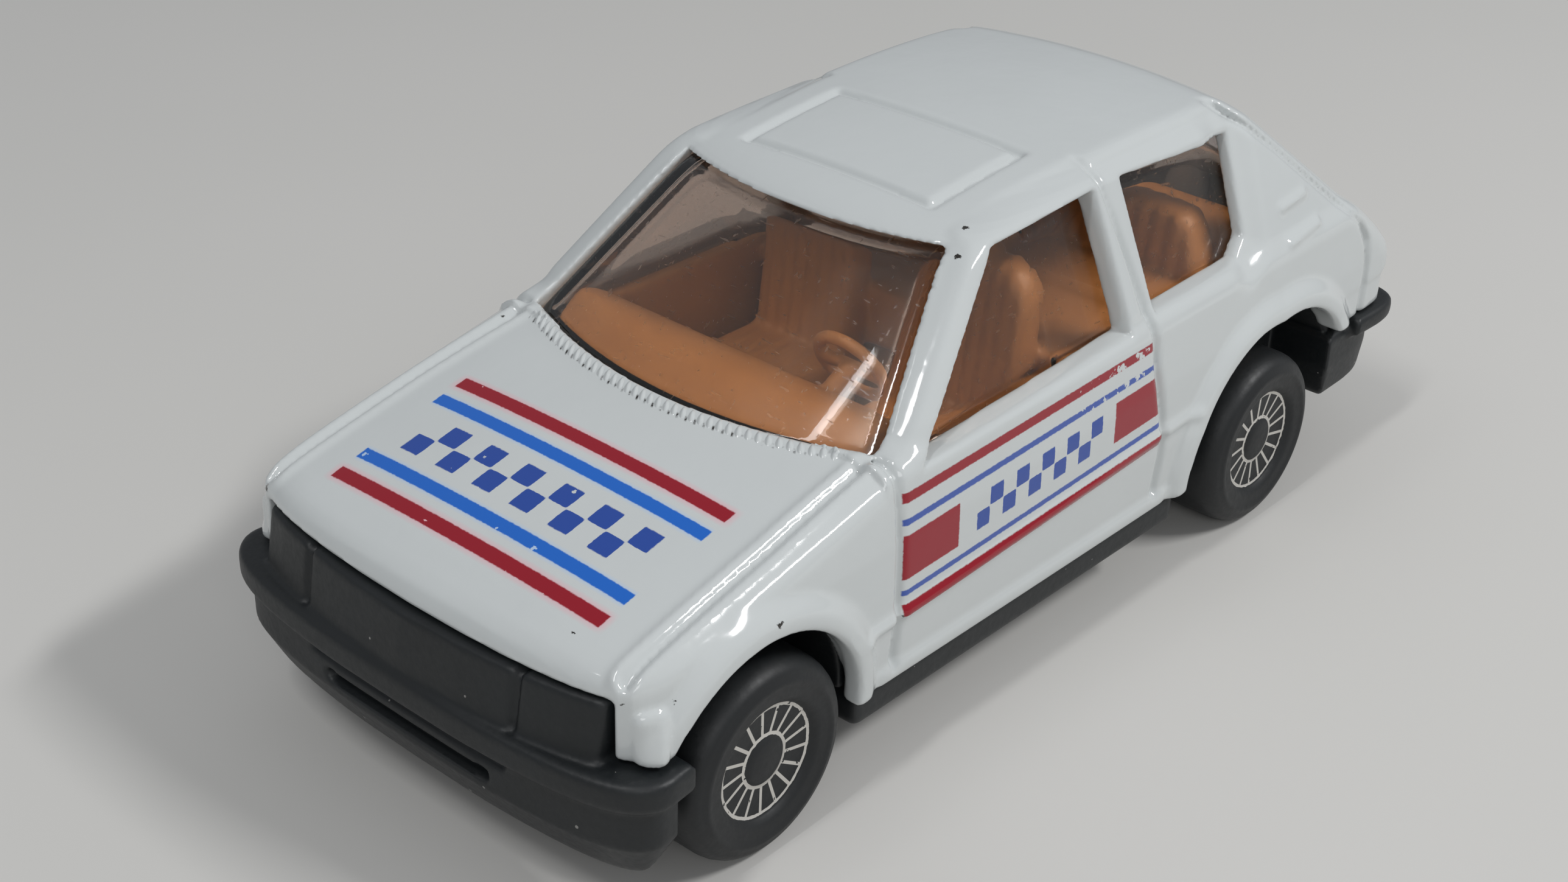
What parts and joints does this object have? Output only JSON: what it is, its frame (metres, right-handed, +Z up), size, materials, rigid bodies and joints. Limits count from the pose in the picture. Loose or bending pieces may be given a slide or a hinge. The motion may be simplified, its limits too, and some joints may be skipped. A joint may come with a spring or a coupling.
{
  "type": "toy police car",
  "caption": "Die-cast toy hatchback in striped police livery with a white shell, black bumpers and base, clear windows, tan seats and wire-look wheels that roll.",
  "frame": {"origin": "on the floor, under the middle of the car's length and width", "axes": "-Y is the front of the car, +X its left side, +Z up"},
  "size_m": [0.0286, 0.0684, 0.0256],
  "materials": {
    "body": "gloss enamel on die-cast zinc",
    "base": "moulded, satin",
    "glazing": "clear polystyrene, faint brown tint",
    "interior": "moulded, satin",
    "axle": "drawn wire",
    "wheel": "moulded, with a silver foil face"
  },
  "bodies": {
    "car": {"body_shell": "body", "base_plate": "base", "window_unit": "glazing", "interior_tray": "interior"},
    "front_wheelset": {"front_axle": "axle", "wheel_front_left": "wheel", "wheel_front_right": "wheel"},
    "rear_wheelset": {"rear_axle": "axle", "wheel_rear_left": "wheel", "wheel_rear_right": "wheel"}
  },
  "joints": [
    {"name": "front_roll", "type": "hinge", "parent": "car", "child": "front_wheelset", "pos_m": [0, -0.02364, 0.0052], "axis": [1, 0, 0], "continuous": true},
    {"name": "rear_roll", "type": "hinge", "parent": "car", "child": "rear_wheelset", "pos_m": [0, 0.01836, 0.0052], "axis": [1, 0, 0], "continuous": true}
  ]
}
